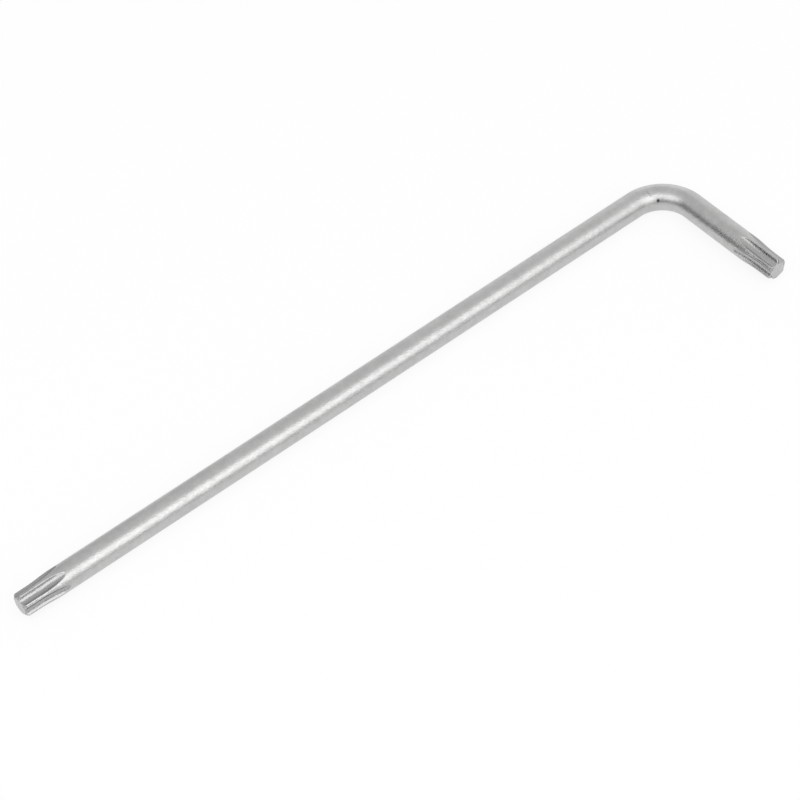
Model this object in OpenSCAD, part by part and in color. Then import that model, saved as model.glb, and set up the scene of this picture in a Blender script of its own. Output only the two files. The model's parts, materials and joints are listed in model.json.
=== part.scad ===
// Star key: an L-shaped driver for six-lobed star sockets, bent from one round steel bar.
// Both ends carry the same star. The key lies flat, with +Z up and the table at z = 0.
// The long arm runs along X with its tip at -X, and the short arm points to -Y.

/* [Bar] */
// Diameter of the round bar
bar_d = 6; // [5.7:0.05:7.5]
// Length of the long arm, from its tip to the outside of the bend
long_arm_l = 180; // [90:1:300]
// Length of the short arm, from its tip to the outside of the bend
short_arm_l = 39.6; // [34:0.1:80]
// Radius of the bend on its inside
bend_inside_r = 6.2; // [3:0.1:9]

/* [Star] */
// Diameter over the lobes
star_outer_d = 5.48; // [5.3:0.01:5.65]
// Diameter across the bottoms of the flutes
star_inner_d = 3.95; // [3.8:0.01:4.2]
// Nose radius of a lobe
lobe_r = 0.4; // [0.35:0.01:0.5]
// Width of the plain land left on the crest of a lobe
crest_land = 0.5; // [0.15:0.01:0.6]
// Diameter of the flat end face, inside its chamfer
end_face_d = 4.2; // [3.4:0.05:5]
// Length of the chamfer along the tip
end_chamfer_l = 0.55; // [0.2:0.05:1]
// Turn of the long tip's star from a lobe straight up, towards the outside of the bend, in degrees
long_star_turn = 4; // [-30:0.5:30]
// Turn of the short tip's star from a lobe straight up, towards the outside of the bend, in degrees
short_star_turn = 11.5; // [-30:0.5:30]

/* [Run-out] */
// Length of the straight star on the long tip, from its end face
long_star_l = 3.8; // [2:0.1:8]
// Length of the straight star on the short tip, from its end face
short_star_l = 4.6; // [2:0.1:8]
// Length of the cone from the star's diameter to the bar's
taper_l = 4.3; // [2:0.1:6]
// Radius of the wheel that cuts the flutes and lifts out of them
wheel_r = 26; // [10:0.5:40]
// Plain bar between the end of the flutes and the end of the tip
tip_margin = 3.6; // [0.5:0.1:6]

/* [Hidden] */
$fn = 96;

lobe_count = 6;
lobe_pitch = 360 / lobe_count;
steel = [0.74, 0.74, 0.75];

// Sections of the star, in a plane across the bar.
// A lobe's nose is an arc that the turned crest cuts off, which leaves the land.
lobe_centre = sqrt(pow(star_outer_d / 2, 2) - pow(crest_land / 2, 2))
            - sqrt(pow(lobe_r, 2) - pow(crest_land / 2, 2));
// The flute's arc bites this far into the nose, which is as good as tangent to it.
flute_bite = 0.01;
nose_reach = lobe_r - flute_bite;
half_pitch_cos = cos(lobe_pitch / 2);
flute_r = (pow(lobe_centre, 2) + pow(star_inner_d / 2, 2)
           - lobe_centre * star_inner_d * half_pitch_cos - pow(nose_reach, 2))
        / (2 * nose_reach - star_inner_d + 2 * lobe_centre * half_pitch_cos);
flute_centre = star_inner_d / 2 + flute_r;

// Places along a tip, from its end face.
cut_clearance = 0.5;
flute_lift = (bar_d - star_inner_d) / 2;
runout_l = sqrt(pow(wheel_r, 2) - pow(wheel_r - flute_lift, 2));
lead_in_l = max(runout_l, taper_l) + tip_margin;
long_tip_l = long_star_l + lead_in_l;
short_tip_l = short_star_l + lead_in_l;

// Places of the arms' axes, from the middle of the key's outline.
bend_r = bend_inside_r + bar_d / 2;
long_axis_y = (short_arm_l - bar_d) / 2;
short_axis_x = (long_arm_l - bar_d) / 2;
long_end_x = -long_arm_l / 2;
short_end_y = -short_arm_l / 2;
bend_centre = [short_axis_x - bend_r, long_axis_y - bend_r];

// Outline of the grinding wheel that cuts one flute: x runs out from the bar's axis.
// It follows the noses of the lobes beside it, then goes straight out next to the middle of their lands.
module flute_section() {
    lobe = lobe_centre * [cos(lobe_pitch / 2), sin(lobe_pitch / 2)];
    toward_lobe = (lobe - [flute_centre, 0]) / norm(lobe - [flute_centre, 0]);
    seam = [flute_centre, 0] + (flute_r - flute_bite / 2) * toward_lobe;
    wall_y = (lobe_centre + lobe_r) * sin(lobe_pitch / 2) - crest_land / 4 * half_pitch_cos;
    outer = bar_d / 2 + cut_clearance;
    difference() {
        polygon([
            [seam.x, -seam.y], [lobe.x, -wall_y], [outer, -wall_y],
            [outer, wall_y], [lobe.x, wall_y], [seam.x, seam.y]
        ]);
        for (side = [-1, 1])
            rotate(side * lobe_pitch / 2) translate([lobe_centre, 0]) circle(lobe_r);
    }
    translate([flute_centre, 0]) circle(flute_r);
}

// One flute: straight along the star, then out of the bar along the wheel's arc.
module flute(star_l) {
    wheel_axis = star_inner_d / 2 + wheel_r;
    lift_angle = acos(1 - (flute_lift + cut_clearance) / wheel_r);
    translate([0, 0, -cut_clearance]) linear_extrude(star_l + cut_clearance) flute_section();
    translate([wheel_axis, 0, star_l]) rotate([90, 0, 180])
        rotate_extrude(angle = lift_angle) translate([wheel_axis, 0]) mirror([1, 0]) flute_section();
}

// A star tip with its end face at z = 0 and a lobe towards +X.
module star_tip(star_l) {
    color(steel) difference() {
        rotate_extrude() polygon([
            [0, 0], [end_face_d / 2, 0], [star_outer_d / 2, end_chamfer_l], [star_outer_d / 2, star_l],
            [bar_d / 2, star_l + taper_l], [bar_d / 2, star_l + lead_in_l], [0, star_l + lead_in_l]
        ]);
        for (k = [0 : lobe_count - 1]) rotate((k + 0.5) * lobe_pitch) flute(star_l);
    }
}

module bar(length) {
    color(steel) cylinder(d = bar_d, h = length);
}

// The tips' end faces look outwards. The stars aren't lined up with each other.
module long_star_tip() {
    translate([long_end_x, long_axis_y, bar_d / 2])
        rotate([0, 90, 0]) rotate(-long_star_turn) star_tip(long_star_l);
}

module short_star_tip() {
    translate([short_axis_x, short_end_y, bar_d / 2])
        rotate([-90, 90, 0]) rotate(short_star_turn) star_tip(short_star_l);
}

module long_shank() {
    start = long_end_x + long_tip_l;
    translate([start, long_axis_y, bar_d / 2]) rotate([0, 90, 0]) bar(bend_centre.x - start);
}

module short_shank() {
    start = short_end_y + short_tip_l;
    translate([short_axis_x, start, bar_d / 2]) rotate([-90, 0, 0]) bar(bend_centre.y - start);
}

module bend() {
    color(steel) translate([bend_centre.x, bend_centre.y, bar_d / 2])
        rotate_extrude(angle = 90) translate([bend_r, 0]) circle(d = bar_d);
}

long_star_tip();
long_shank();
bend();
short_shank();
short_star_tip();
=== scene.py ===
"""A star key: one round steel bar bent to an L, with a six-lobed star cut on each end, in satin chrome."""

import json
import math
from collections import namedtuple

import bmesh
import bpy
from bpy.props import FloatProperty, FloatVectorProperty, IntProperty, PointerProperty
from mathutils import Matrix, Quaternion, Vector


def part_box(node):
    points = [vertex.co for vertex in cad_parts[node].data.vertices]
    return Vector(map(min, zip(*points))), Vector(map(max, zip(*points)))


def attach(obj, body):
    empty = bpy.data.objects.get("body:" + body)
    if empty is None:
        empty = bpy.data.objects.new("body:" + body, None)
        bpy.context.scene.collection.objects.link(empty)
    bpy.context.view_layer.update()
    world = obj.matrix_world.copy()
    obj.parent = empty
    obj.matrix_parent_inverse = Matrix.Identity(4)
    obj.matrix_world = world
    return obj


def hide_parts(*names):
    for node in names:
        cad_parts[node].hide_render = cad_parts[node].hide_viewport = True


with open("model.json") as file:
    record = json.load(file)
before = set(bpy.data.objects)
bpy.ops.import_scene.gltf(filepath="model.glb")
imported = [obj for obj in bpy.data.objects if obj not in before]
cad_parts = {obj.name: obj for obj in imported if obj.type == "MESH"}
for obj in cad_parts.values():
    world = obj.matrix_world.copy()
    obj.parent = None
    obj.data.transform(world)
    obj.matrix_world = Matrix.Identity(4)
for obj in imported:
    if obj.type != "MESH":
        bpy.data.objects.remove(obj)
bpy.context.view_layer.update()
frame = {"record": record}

bl_info = {
    "name": "Star Key",
    "version": (1, 0, 0),
    "blender": (4, 5, 0),
    "location": "3D View > Sidebar > Star Key",
    "description": "Models a star key from a bent bar, gives it a satin chrome finish and sets up its studio",
    "category": "Mesh",
}

MM = 0.001
LOBES = 6
LOBE_PITCH = 2 * math.pi / LOBES
WELD = 0.001 * MM
UP = Vector((0, 0, 1))

# What the frame gives: the bar, the ends of the arms, where the tips end and what the bend turns about.
MOUNTS = {mount["name"]: mount for mount in frame["record"]["mounts"]}
BAR_R = MOUNTS["long_arm"]["dims"]["r_mm"] * MM
LONG_END = Vector(MOUNTS["long_star"]["pos_m"])
SHORT_END = Vector(MOUNTS["short_star"]["pos_m"])
LONG_TIP_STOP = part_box("long_star_tip")[1].x
SHORT_TIP_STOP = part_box("short_star_tip")[1].y
BEND_CENTRE = Vector((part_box("long_shank")[1].x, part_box("short_shank")[1].y, BAR_R))
BEND_R = SHORT_END.x - BEND_CENTRE.x

# How finely a tip is divided: steps of its outline's arcs, and gaps between its rings along the bar.
FLUTE_ARC_STEPS = 16
LOBE_ARC_STEPS = 12
SHOULDER_RING_GAP = 0.025 * MM
STRAIGHT_RING_GAP = 0.4 * MM
RUNOUT_RING_GAP = 0.1 * MM
PLAIN_RING_GAP = 1 * MM
# The power that makes the end's shoulder round.
SHOULDER_POWER = 3
# How deep a flute is where its tone begins, as a share of the edge rounding. The tone is the flutes' smoother
# finish and a darker colour that is partly their own finish and partly painted shade in their hollows.
TONE_START = 0.5

# Names under which the meshes tell the finish where the flutes, whose darker colour is partly painted shade,
# and the die's marks are.
FLUTE_LAYER = "flute"
DIE_MARK_LAYER = "die_mark"


def length(name, description, millimetres):
    """A size that a user would change, given in millimetres and kept in metres."""
    return FloatProperty(
        name=name, description=description, default=millimetres * MM, unit="LENGTH", precision=5
    )


def angle(name, description, degrees):
    """An angle that a user would change, given in degrees."""
    return FloatProperty(
        name=name, description=description, default=math.radians(degrees), subtype="ANGLE"
    )


def number(name, description, value):
    """A plain number that a user would change."""
    return FloatProperty(name=name, description=description, default=value, precision=3)


def colour(name, description, value):
    """A linear colour that a user would change."""
    return FloatVectorProperty(
        name=name, description=description, default=value, size=3, subtype="COLOR", min=0, max=1
    )


class StarSizes(bpy.types.PropertyGroup):
    """Sizes of the star that is cut on both ends of the bar, and the tones of its flutes, which are partly
    painted shade.
    """

    outer_d: length("Over the lobes", "Diameter over the lobes", 5.48)
    inner_d: length("Across the flutes", "Diameter across the bottoms of the flutes", 3.95)
    lobe_r: length("Lobe nose", "Nose radius of a lobe", 0.4)
    crest_land: length("Crest land", "Width of the plain land on the crest of a lobe", 0.5)
    end_face_d: length("End face", "Diameter of the flat end face, inside its round shoulder", 3.9)
    shoulder_l: length("Shoulder", "Length of the end's round shoulder along the tip", 0.9)
    long_straight_l: length("Long tip's star", "Straight star on the long tip, from its end", 3.8)
    short_straight_l: length("Short tip's star", "Straight star on the short tip, from its end", 4.0)
    taper_l: length("Taper", "Length of the cone from the star's diameter to the bar's", 4.3)
    wheel_r: length("Cutting wheel", "Radius of the wheel that cuts the flutes and lifts out", 26)
    long_turn: angle("Long tip's turn", "Turn of the star from a lobe straight up", 4)
    short_turn: angle("Short tip's turn", "Turn of the star from a lobe straight up", 11.5)
    # How much each tip's flutes are darkened and smoothed, set apart for each tip: the darkening is partly
    # the flutes' own finish and partly painted shade in their hollows.
    long_flute_finish_and_shade: number("Long tip's tone", "How much of the flutes' finish shows on the long tip", 1)
    short_flute_finish_and_shade: number("Short tip's tone", "How much of the flutes' finish shows on the short tip", 0.55)
    edge_round: length("Edge rounding", "How far the flutes' edges are rounded over", 0.06)
    rim_round: length("Rim rounding", "How far the rim of the end face is rounded over", 0.05)
    taper_ease: length("Taper easing", "How softly the taper meets the star and the bar", 0.05)


class BarSizes(bpy.types.PropertyGroup):
    """Sizes of the round bar."""

    diameter: length("Diameter", "Diameter of the round bar", 2 * BAR_R / MM)
    segments: IntProperty(name="Segments", description="Faces round the bar", default=144, min=24)
    ring_gap: length("Ring spacing", "Distance between rings along the straight bar", 2)


class FinishSettings(bpy.types.PropertyGroup):
    """Satin chrome: colours, gloss and grain."""

    plating: colour("Plating", "Colour of the plating", (0.58, 0.58, 0.575))
    haze: colour("Haze", "Colour of the duller patches in the plating", (0.48, 0.48, 0.477))
    # The flutes' colour is darker partly for their own cut finish and partly as painted shade in their
    # hollows.
    flutes: colour("Flutes", "Colour of the cut flutes", (0.4, 0.4, 0.398))
    satin: number("Satin", "Roughness of the plain bar", 0.325)
    satin_spread: number("Satin spread", "How much the bar's roughness varies", 0.05)
    flute_gloss: number("Flute roughness", "Roughness of the cut flutes", 0.22)
    die_marks: colour("Die marks", "Colour of the bending die's marks", (0.03, 0.03, 0.03))
    grain_size: length("Grain size", "Size of the fine grain", 0.3)
    grain_depth: length("Grain depth", "Height of the fine grain", 0.065)
    ripple_size: length("Ripple size", "Size of the shallow ripples under the grain", 1.4)
    ripple_depth: length("Ripple depth", "Height of the shallow ripples under the grain", 0.03)
    patch_size: length("Patch size", "Size of the duller patches", 2.4)


class StudioSettings(bpy.types.PropertyGroup):
    """The floor, the light and the camera."""

    floor_size: FloatProperty(
        name="Floor", description="Side of the floor", default=6, unit="LENGTH"
    )
    floor_colour: colour("Floor colour", "Colour of the floor", (0.93, 0.93, 0.93))
    floor_glow: number("Floor glow", "Share of the floor's white that no shadow reaches", 0.86)
    tent_level: number("Tent", "Level of the light tent, where white is 1", 0.598)
    tent_lean: FloatVectorProperty(
        name="Tent's lean", description="How much paler the tent gets towards each axis",
        default=(0.123, -0.142, 0.209), size=3,
    )
    camera_place: FloatVectorProperty(
        name="Camera", description="Place of the camera", default=(-0.22908, -0.33359, 0.46587), size=3,
        subtype="TRANSLATION", unit="LENGTH",
    )
    camera_azimuth: angle("Azimuth", "Where the camera looks, from +Y towards +X", 34.148)
    camera_fall: angle("Fall", "How far below the horizon the camera looks", 48.33)
    camera_roll: angle("Roll", "Turn of the camera about its line of sight", -6.567)
    camera_lens: number("Lens", "Focal length on a 36 mm sensor, in millimetres", 130.7)


def soft_min(a, b, reach):
    """The smaller of two lengths, rounded over where they are within reach of each other."""
    near = max(reach - abs(a - b), 0)
    return min(a, b) - near**2 / (4 * reach)


def soft_max(a, b, reach):
    """The larger of two lengths, rounded over where they are within reach of each other."""
    return -soft_min(-a, -b, reach)


def blank_radius(z, star, straight_l):
    """Radius of the turned blank at z from the end: shoulder, star's diameter, taper, then the bar."""
    crest = star.outer_d / 2
    rest = max(1 - max(z, 0) / star.shoulder_l, 0)
    shoulder = (crest - star.end_face_d / 2) * rest**SHOULDER_POWER
    taper = crest + (BAR_R - crest) * (z - straight_l) / star.taper_l
    return soft_min(soft_max(crest, taper, star.taper_ease), BAR_R, star.taper_ease) - shoulder


def star_outline(bm, star):
    """Draw the star round the Z axis: half a flute from two arcs, its mirror image and turned copies."""
    crest, half_land = star.outer_d / 2, star.crest_land / 2
    lobe_centre = math.sqrt(crest**2 - half_land**2) - math.sqrt(star.lobe_r**2 - half_land**2)
    lobe = lobe_centre * Vector((math.cos(LOBE_PITCH / 2), math.sin(LOBE_PITCH / 2), 0))
    bottom = Vector((star.inner_d / 2, 0, 0))
    flute_r = ((lobe - bottom).length_squared - star.lobe_r**2) / (
        2 * star.lobe_r + 2 * (lobe.x - bottom.x)
    )
    hollow = bottom + Vector((flute_r, 0, 0))
    seam_angle = math.atan2(lobe.y, hollow.x - lobe.x)
    half = bm.verts.new(bottom)
    arcs = (
        (hollow, -seam_angle, FLUTE_ARC_STEPS),
        (lobe, seam_angle + LOBE_PITCH / 2, LOBE_ARC_STEPS),
    )
    for centre, sweep, steps in arcs:
        drawn = bmesh.ops.spin(
            bm, geom=[half], cent=centre, axis=UP, angle=sweep, steps=steps, use_duplicate=False
        )
        half = next(part for part in drawn["geom_last"] if isinstance(part, bmesh.types.BMVert))
    bmesh.ops.mirror(bm, geom=bm.verts[:] + bm.edges[:], axis="Y", merge_dist=WELD)
    bmesh.ops.spin(
        bm, geom=bm.verts[:] + bm.edges[:], cent=(0, 0, 0), axis=UP,
        angle=LOBE_PITCH * (LOBES - 1), steps=LOBES - 1, use_duplicate=True,
    )
    lobe_to_x = Matrix.Rotation(LOBE_PITCH / 2, 3, "Z")
    bmesh.ops.rotate(bm, verts=bm.verts, cent=(0, 0, 0), matrix=lobe_to_x)
    bmesh.ops.remove_doubles(bm, verts=bm.verts, dist=WELD)


def close_end(bm, ring):
    """Close a ring of edges with a flat face that doesn't soften the shading of the bar beside it."""
    bmesh.ops.edgeloop_fill(bm, edges=ring)
    for edge in ring:
        edge.smooth = False


def draw_out(bm, offsets):
    """Close an outline to a face, draw its edges out along Z by each offset and close the far end."""
    ring = bm.edges[:]
    close_end(bm, ring)
    for offset in offsets:
        grown = bmesh.ops.extrude_edge_only(bm, edges=ring)["geom"]
        new_verts = [part for part in grown if isinstance(part, bmesh.types.BMVert)]
        bmesh.ops.translate(bm, verts=new_verts, vec=UP * offset)
        ring = [part for part in grown if isinstance(part, bmesh.types.BMEdge) and part.is_boundary]
    close_end(bm, ring)


def even_steps(start, stop, gap):
    """Offsets that lead from start to stop in even steps of about gap."""
    count = max(1, round((stop - start) / gap))
    return [(stop - start) / count] * count


def cut_flutes(bm, star, straight_l, tone):
    """Hold a prism of the star to the blank, lift its flutes out along the wheel's arc and face its end."""
    flute_layer = bm.verts.layers.float.new(FLUTE_LAYER)
    wheel_axis = star.inner_d / 2 + star.wheel_r
    for vert in bm.verts:
        x, y, z = vert.co
        flute = math.floor(math.atan2(y, x) / LOBE_PITCH) + 0.5
        to_flute = Matrix.Rotation(-flute * LOBE_PITCH, 3, "Z")
        across = to_flute @ vert.co
        lift = max(z - straight_l, 0)
        cut = wheel_axis - math.sqrt((wheel_axis - across.x) ** 2 - lift**2)
        blank = math.sqrt(blank_radius(z, star, straight_l) ** 2 - across.y**2)
        across.x = soft_min(cut, blank, star.edge_round)
        across.z = soft_max(z, 0, star.rim_round)
        # How far into a flute its darker colour, partly painted shade, and its smoother finish reach.
        depth = min(max((blank - across.x) / star.edge_round - TONE_START, 0), 1)
        vert[flute_layer] = tone * depth if z > 0 else 0
        vert.co = to_flute.inverted() @ across


def star_tip(star, straight_l, tip_l, tone):
    """A star tip with its end face at z = 0 and a lobe towards +X."""
    bm = bmesh.new()
    star_outline(bm, star)
    bmesh.ops.translate(bm, verts=bm.verts, vec=-UP * star.rim_round)
    runout_stop = straight_l + math.sqrt(2 * star.wheel_r * (BAR_R - star.inner_d / 2))
    draw_out(bm, [
        *even_steps(-star.rim_round, star.shoulder_l, SHOULDER_RING_GAP),
        *even_steps(star.shoulder_l, straight_l, STRAIGHT_RING_GAP),
        *even_steps(straight_l, runout_stop, RUNOUT_RING_GAP),
        *even_steps(runout_stop, tip_l, PLAIN_RING_GAP),
    ])
    cut_flutes(bm, star, straight_l, tone)
    return bm


def round_bar(bar, bar_l):
    """A plain stretch of the bar along Z."""
    bm = bmesh.new()
    bmesh.ops.create_circle(bm, radius=bar.diameter / 2, segments=bar.segments)
    draw_out(bm, even_steps(0, bar_l, bar.ring_gap))
    return bm


# Marks of the bending die: start and stop, radius and depth in millimetres, and a tone for how dark it is.
# A start or stop is degrees along the bend and degrees from the top of the bar towards the inside.
DieMark = namedtuple("DieMark", "start stop radius depth tone")
DIE_MARKS = {
    "pit": DieMark((35.3, 61.2), (35.3, 61.2), 0.48, 0.06, 1.0),
    "streak": DieMark((20.4, 13.0), (23.9, 35.5), 0.22, 0.0, 0.3),
}


def place_on_bend(bar, sweep, turn):
    """A place on the surface of the bend, and the direction out of the surface there."""
    outwards = Matrix.Rotation(-math.radians(sweep), 3, "Z") @ Vector((0, 1, 0))
    normal = UP * math.cos(math.radians(turn)) - outwards * math.sin(math.radians(turn))
    return BEND_CENTRE + outwards * BEND_R + normal * bar.diameter / 2, normal


def press_die_marks(bm, bar):
    """Press the small dark marks that the bending die leaves inside the bend."""
    tone_layer = bm.verts.layers.float.new(DIE_MARK_LAYER)
    for mark in DIE_MARKS.values():
        start, normal = place_on_bend(bar, *mark.start)
        stop = place_on_bend(bar, *mark.stop)[0]
        way = stop - start
        for vert in bm.verts:
            along = (vert.co - start).dot(way) / max(way.length_squared, WELD**2)
            nearest = start.lerp(stop, min(max(along, 0), 1))
            fade = max(1 - ((vert.co - nearest).length / (mark.radius * MM)) ** 2, 0)
            vert.co -= normal * mark.depth * MM * fade
            vert[tone_layer] = max(vert[tone_layer], mark.tone * fade)


def feed(node, inputs):
    """Give a node's sockets, by name or by number, the outputs of other nodes or plain values."""
    for socket, value in inputs.items():
        if isinstance(value, bpy.types.NodeSocket):
            node.id_data.links.new(value, node.inputs[socket])
        else:
            node.inputs[socket].default_value = value


def add_node(tree, kind, inputs=None, **settings):
    """Add a shader node with its settings and what goes into its sockets."""
    node = tree.nodes.new(kind)
    for name, value in settings.items():
        setattr(node, name, value)
    feed(node, inputs or {})
    return node


def calculate(tree, kind, operation, *values):
    """The number that a maths node works out from outputs of other nodes or plain values."""
    return add_node(tree, kind, dict(enumerate(values)), operation=operation).outputs["Value"]


# The noise in the plating is turned, so that its rows don't line up with the bar.
NOISE_TURN = (0.5, 0.7, 0.6)
# Nearly all of a noise lies between these values.
NOISE_LOW = 0.3
NOISE_HIGH = 0.7
# Octaves of each noise, and how strongly the finer ones show in the patches.
PATCH_DETAIL = 4
PATCH_ROUGHNESS = 0.85
RIPPLE_DETAIL = 1
GRAIN_DETAIL = 2


def satin_chrome():
    """Satin chrome: ripples under a fine grain, patches of haze, smooth flutes darkened partly by their own
    finish and partly by painted shade, dark die marks.
    """
    name = "satin_chrome_finish"
    if name in bpy.data.materials:
        return bpy.data.materials[name]
    finish = bpy.context.scene.key_finish
    material = bpy.data.materials.new(name)
    material.use_nodes = True
    tree = material.node_tree
    surface = add_node(tree, "ShaderNodeTexCoord").outputs["Object"]
    turned = add_node(tree, "ShaderNodeMapping", {"Vector": surface, "Rotation": NOISE_TURN})

    def attribute(layer):
        return add_node(tree, "ShaderNodeAttribute", attribute_name=layer).outputs["Fac"]

    def noise(size, detail, roughness=0.5):
        return add_node(tree, "ShaderNodeTexNoise", {
            "Vector": turned.outputs["Vector"],
            "Scale": 1 / size,
            "Detail": detail,
            "Roughness": roughness,
        }).outputs["Fac"]

    def spread(value, low, high):
        return add_node(tree, "ShaderNodeMapRange", {
            "Value": value,
            "From Min": NOISE_LOW,
            "From Max": NOISE_HIGH,
            "To Min": low,
            "To Max": high,
        }).outputs["Result"]

    def lay_over(under, over, share, data_type="RGBA"):
        inputs = {"A": under, "B": over, "Factor": share}
        return add_node(tree, "ShaderNodeMix", inputs, data_type=data_type).outputs["Result"]

    def bump(height, depth, **under):
        inputs = {"Height": height, "Distance": depth, **under}
        return add_node(tree, "ShaderNodeBump", inputs).outputs["Normal"]

    flute = attribute(FLUTE_LAYER)
    patches = noise(finish.patch_size, PATCH_DETAIL, PATCH_ROUGHNESS)
    hazy = lay_over((*finish.plating, 1), (*finish.haze, 1), spread(patches, 0, 1))
    # The flutes' darker colour: partly their own finish, partly painted shade in the hollows.
    fluted_and_shaded = lay_over(hazy, (*finish.flutes, 1), flute)
    marked = lay_over(fluted_and_shaded, (*finish.die_marks, 1), attribute(DIE_MARK_LAYER))
    low, high = finish.satin - finish.satin_spread / 2, finish.satin + finish.satin_spread / 2
    gloss = lay_over(spread(patches, low, high), finish.flute_gloss, flute, "FLOAT")
    rippled = bump(noise(finish.ripple_size, RIPPLE_DETAIL), finish.ripple_depth)
    grained = bump(noise(finish.grain_size, GRAIN_DETAIL), finish.grain_depth, Normal=rippled)
    feed(tree.nodes["Principled BSDF"], {
        "Metallic": 1.0, "Base Color": marked, "Roughness": gloss, "Normal": grained,
    })
    return material


def keep_piece(bm, name, node, place):
    """Put a modelled piece in its place, smooth and closed, where it stands for its node of the frame."""
    bmesh.ops.remove_doubles(bm, verts=bm.verts, dist=WELD)
    bmesh.ops.transform(bm, matrix=place, verts=bm.verts)
    bmesh.ops.recalc_face_normals(bm, faces=bm.faces)
    for face in bm.faces:
        face.smooth = True
    mesh = bpy.data.meshes.new(name)
    bm.to_mesh(mesh)
    bm.free()
    mesh.materials.append(satin_chrome())
    piece = bpy.data.objects.new(name, mesh)
    bpy.context.scene.collection.objects.link(piece)
    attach(piece, "root")
    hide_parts(node)


# Turns that lay a piece made along Z on the long arm, along X, and on the short arm, along Y.
ON_LONG_ARM = Matrix.Rotation(math.pi / 2, 4, "Y")
ON_SHORT_ARM = Matrix.Rotation(math.pi / 2, 4, "Y") @ Matrix.Rotation(-math.pi / 2, 4, "X")


class MESH_OT_star_tips(bpy.types.Operator):
    """Model the star tips at the ends of both arms"""

    bl_idname = "mesh.star_key_tips"
    bl_label = "Star Tips"
    bl_options = {"REGISTER", "UNDO"}

    def execute(self, context):
        star = context.scene.key_star
        tip = star_tip(star, star.long_straight_l, LONG_TIP_STOP - LONG_END.x, star.long_flute_finish_and_shade)
        turn = Matrix.Rotation(-star.long_turn, 4, "Z")
        place = Matrix.Translation(LONG_END) @ ON_LONG_ARM @ turn
        keep_piece(tip, "long_tip", "long_star_tip", place)
        tip = star_tip(star, star.short_straight_l, SHORT_TIP_STOP - SHORT_END.y, star.short_flute_finish_and_shade)
        turn = Matrix.Rotation(star.short_turn, 4, "Z")
        place = Matrix.Translation(SHORT_END) @ ON_SHORT_ARM @ turn
        keep_piece(tip, "short_tip", "short_star_tip", place)
        return {"FINISHED"}


class MESH_OT_plain_bars(bpy.types.Operator):
    """Model the plain round stretches of both arms"""

    bl_idname = "mesh.star_key_bars"
    bl_label = "Plain Bars"
    bl_options = {"REGISTER", "UNDO"}

    def execute(self, context):
        bar = context.scene.key_bar
        start = Vector((LONG_TIP_STOP, LONG_END.y, LONG_END.z))
        long_bar = round_bar(bar, BEND_CENTRE.x - start.x)
        keep_piece(long_bar, "long_bar", "long_shank", Matrix.Translation(start) @ ON_LONG_ARM)
        start = Vector((SHORT_END.x, SHORT_TIP_STOP, SHORT_END.z))
        short_bar = round_bar(bar, BEND_CENTRE.y - start.y)
        keep_piece(short_bar, "short_bar", "short_shank", Matrix.Translation(start) @ ON_SHORT_ARM)
        return {"FINISHED"}


class MESH_OT_bent_bar(bpy.types.Operator):
    """Model the quarter bend between the arms, with the marks of the bending die"""

    bl_idname = "mesh.star_key_bend"
    bl_label = "Bent Bar"
    bl_options = {"REGISTER", "UNDO"}

    def execute(self, context):
        bar = context.scene.key_bar
        bm = bmesh.new()
        start = Matrix.Translation((BEND_CENTRE.x, LONG_END.y, BAR_R)) @ ON_LONG_ARM
        bmesh.ops.create_circle(bm, radius=bar.diameter / 2, segments=bar.segments, matrix=start)
        bmesh.ops.spin(
            bm, geom=bm.verts[:] + bm.edges[:], cent=BEND_CENTRE, axis=UP, angle=-math.pi / 2,
            steps=bar.segments, use_duplicate=False,
        )
        close_end(bm, [edge for edge in bm.edges if edge.is_boundary])
        press_die_marks(bm, bar)
        keep_piece(bm, "bent_bar", "bend", Matrix.Identity(4))
        return {"FINISHED"}


# What lights the key: degrees of azimuth from +Y towards +X, degrees above the horizon, sizes and level.
# A patch of the tent is as wide and tall as on a tent of radius 1, and a soft box is in metres.
Light = namedtuple("Light", "azimuth height wide tall level")
TENT_PATCHES = {
    "shaded_opening": Light(-113, -10, 1.88, 0.77, -1.04),
    "shaded_front_edge": Light(151, 3, 0.59, 0.58, -0.51),
    "pale_back_card": Light(41, -10, 0.55, 1.12, 0.69),
    "pale_top_card": Light(-26, 58, 0.5, 0.4, 0.08),
}
# A patch has its full level over this share of its size, and fades out round it.
PATCH_CORE = 0.2
SOFT_BOXES = {
    "front_soft_box": Light(173.8, 37, 1.34, 1.27, 0.92),
    "left_soft_box": Light(-100.6, 41.2, 1.09, 1.17, 0.815),
}
SOFT_BOX_DISTANCE = 1.2
# An area light of this power per square metre has a level of 1.
AREA_LIGHT_SHARE = 4

# The camera's sensor in millimetres, and how near and how far it sees in metres.
SENSOR_WIDTH = 36
NEAREST_VIEW = 0.01
FARTHEST_VIEW = 20


def direction(azimuth, height):
    """A direction from its azimuth, from +Y towards +X, and its height above the horizon."""
    level = math.cos(height)
    return Vector((math.sin(azimuth) * level, math.cos(azimuth) * level, math.sin(height)))


def towards(light):
    """Direction of a light from the key."""
    return direction(math.radians(light.azimuth), math.radians(light.height))


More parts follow.
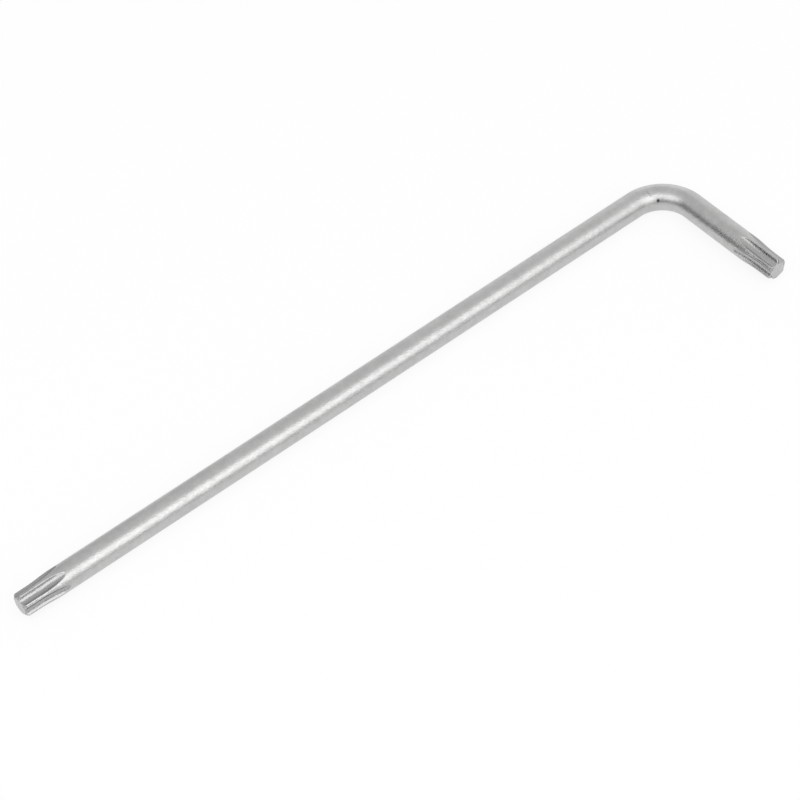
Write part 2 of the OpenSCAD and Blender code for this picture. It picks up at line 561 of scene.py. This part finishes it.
def white_floor(studio):
    """The floor's finish: plain white that keeps a soft shadow."""
    material = bpy.data.materials.new("white_floor")
    material.use_nodes = True
    tree = material.node_tree
    shader = tree.nodes["Principled BSDF"]
    feed(shader, {
        "Base Color": (*studio.floor_colour, 1), "Roughness": 1.0, "Specular IOR Level": 0.0,
    })
    path = add_node(tree, "ShaderNodeLightPath")
    seen = path.outputs["Is Camera Ray"]
    for ray in ("Is Glossy Ray", "Is Transmission Ray"):
        seen = calculate(tree, "ShaderNodeMath", "MAXIMUM", seen, path.outputs[ray])
    share = calculate(tree, "ShaderNodeMath", "MULTIPLY", seen, studio.floor_glow)
    glow = add_node(tree, "ShaderNodeEmission")
    mix = add_node(tree, "ShaderNodeMixShader", {
        "Fac": share, 1: shader.outputs["BSDF"], 2: glow.outputs["Emission"],
    })
    feed(tree.nodes["Material Output"], {"Surface": mix.outputs["Shader"]})
    return material


def lay_floor(studio):
    """A square floor under the key."""
    bm = bmesh.new()
    bmesh.ops.create_grid(bm, x_segments=1, y_segments=1, size=studio.floor_size / 2)
    mesh = bpy.data.meshes.new("floor")
    bm.to_mesh(mesh)
    bm.free()
    mesh.materials.append(white_floor(studio))
    floor = bpy.data.objects.new("floor", mesh)
    bpy.context.scene.collection.objects.link(floor)


def light_tent(studio):
    """A pale light tent all round, with the patches that are darker or paler than the rest."""
    world = bpy.data.worlds.new("light_tent")
    bpy.context.scene.world = world
    world.use_nodes = True
    tree = world.node_tree
    sight = add_node(tree, "ShaderNodeTexCoord").outputs["Generated"]
    leaning = calculate(tree, "ShaderNodeVectorMath", "DOT_PRODUCT", sight, studio.tent_lean)
    level = calculate(tree, "ShaderNodeMath", "ADD", leaning, studio.tent_level)
    for patch in TENT_PATCHES.values():
        across = add_node(tree, "ShaderNodeMapping", vector_type="TEXTURE", inputs={
            "Vector": sight,
            "Location": towards(patch),
            "Rotation": (math.radians(patch.height), 0, -math.radians(patch.azimuth)),
            "Scale": (patch.wide, max(patch.wide, patch.tall), patch.tall),
        })
        distance = calculate(tree, "ShaderNodeVectorMath", "LENGTH", across.outputs["Vector"])
        fade = add_node(tree, "ShaderNodeMapRange", interpolation_type="SMOOTHSTEP", inputs={
            "Value": distance, "From Min": 1, "From Max": PATCH_CORE,
        }).outputs["Result"]
        level = calculate(tree, "ShaderNodeMath", "MULTIPLY_ADD", fade, patch.level, level)
    level = calculate(tree, "ShaderNodeMath", "MAXIMUM", level, 0)
    feed(tree.nodes["Background"], {"Color": (1, 1, 1, 1), "Strength": level})


def soft_box(name, box):
    """A soft box that looks at the key."""
    light = bpy.data.lights.new(name, "AREA")
    light.shape = "RECTANGLE"
    light.size, light.size_y = box.wide, box.tall
    light.energy = AREA_LIGHT_SHARE * box.level * box.wide * box.tall
    lamp = bpy.data.objects.new(name, light)
    lamp.location = towards(box) * SOFT_BOX_DISTANCE
    lamp.rotation_euler = towards(box).to_track_quat("Z", "Y").to_euler()
    bpy.context.scene.collection.objects.link(lamp)


def place_camera(studio):
    """The camera, which looks down at the key from the left and the front."""
    lens = bpy.data.cameras.new("camera")
    lens.sensor_width = SENSOR_WIDTH
    lens.lens = studio.camera_lens
    lens.clip_start, lens.clip_end = NEAREST_VIEW, FARTHEST_VIEW
    camera = bpy.data.objects.new("camera", lens)
    camera.location = studio.camera_place
    sight = direction(studio.camera_azimuth, -studio.camera_fall)
    turned = sight.to_track_quat("-Z", "Y") @ Quaternion((0, 0, 1), studio.camera_roll)
    camera.rotation_euler = turned.to_euler()
    bpy.context.scene.collection.objects.link(camera)
    bpy.context.scene.camera = camera


class SCENE_OT_key_stage(bpy.types.Operator):
    """Set up the floor, the light and the camera"""

    bl_idname = "scene.star_key_stage"
    bl_label = "Stage"
    bl_options = {"REGISTER", "UNDO"}

    def execute(self, context):
        studio = context.scene.key_studio
        lay_floor(studio)
        light_tent(studio)
        for name, box in SOFT_BOXES.items():
            soft_box(name, box)
        place_camera(studio)
        context.scene.view_settings.view_transform = "Standard"
        return {"FINISHED"}


class VIEW3D_PT_star_key(bpy.types.Panel):
    """Lists the key's pieces and its stage in the sidebar"""

    bl_label = "Star Key"
    bl_idname = "VIEW3D_PT_star_key"
    bl_space_type = "VIEW_3D"
    bl_region_type = "UI"
    bl_category = "Star Key"

    def draw(self, context):
        for operator in OPERATORS:
            self.layout.operator(operator.bl_idname)


OPERATORS = (MESH_OT_star_tips, MESH_OT_plain_bars, MESH_OT_bent_bar, SCENE_OT_key_stage)
SETTINGS = {
    "key_star": StarSizes,
    "key_bar": BarSizes,
    "key_finish": FinishSettings,
    "key_studio": StudioSettings,
}
CLASSES = (*SETTINGS.values(), *OPERATORS, VIEW3D_PT_star_key)


def register():
    for kind in CLASSES:
        bpy.utils.register_class(kind)
    for name, group in SETTINGS.items():
        setattr(bpy.types.Scene, name, PointerProperty(type=group))


def unregister():
    for name in SETTINGS:
        delattr(bpy.types.Scene, name)
    for kind in reversed(CLASSES):
        bpy.utils.unregister_class(kind)


def main():
    register()
    bpy.ops.mesh.star_key_tips()
    bpy.ops.mesh.star_key_bars()
    bpy.ops.mesh.star_key_bend()
    bpy.ops.scene.star_key_stage()


if __name__ == "__main__":
    main()
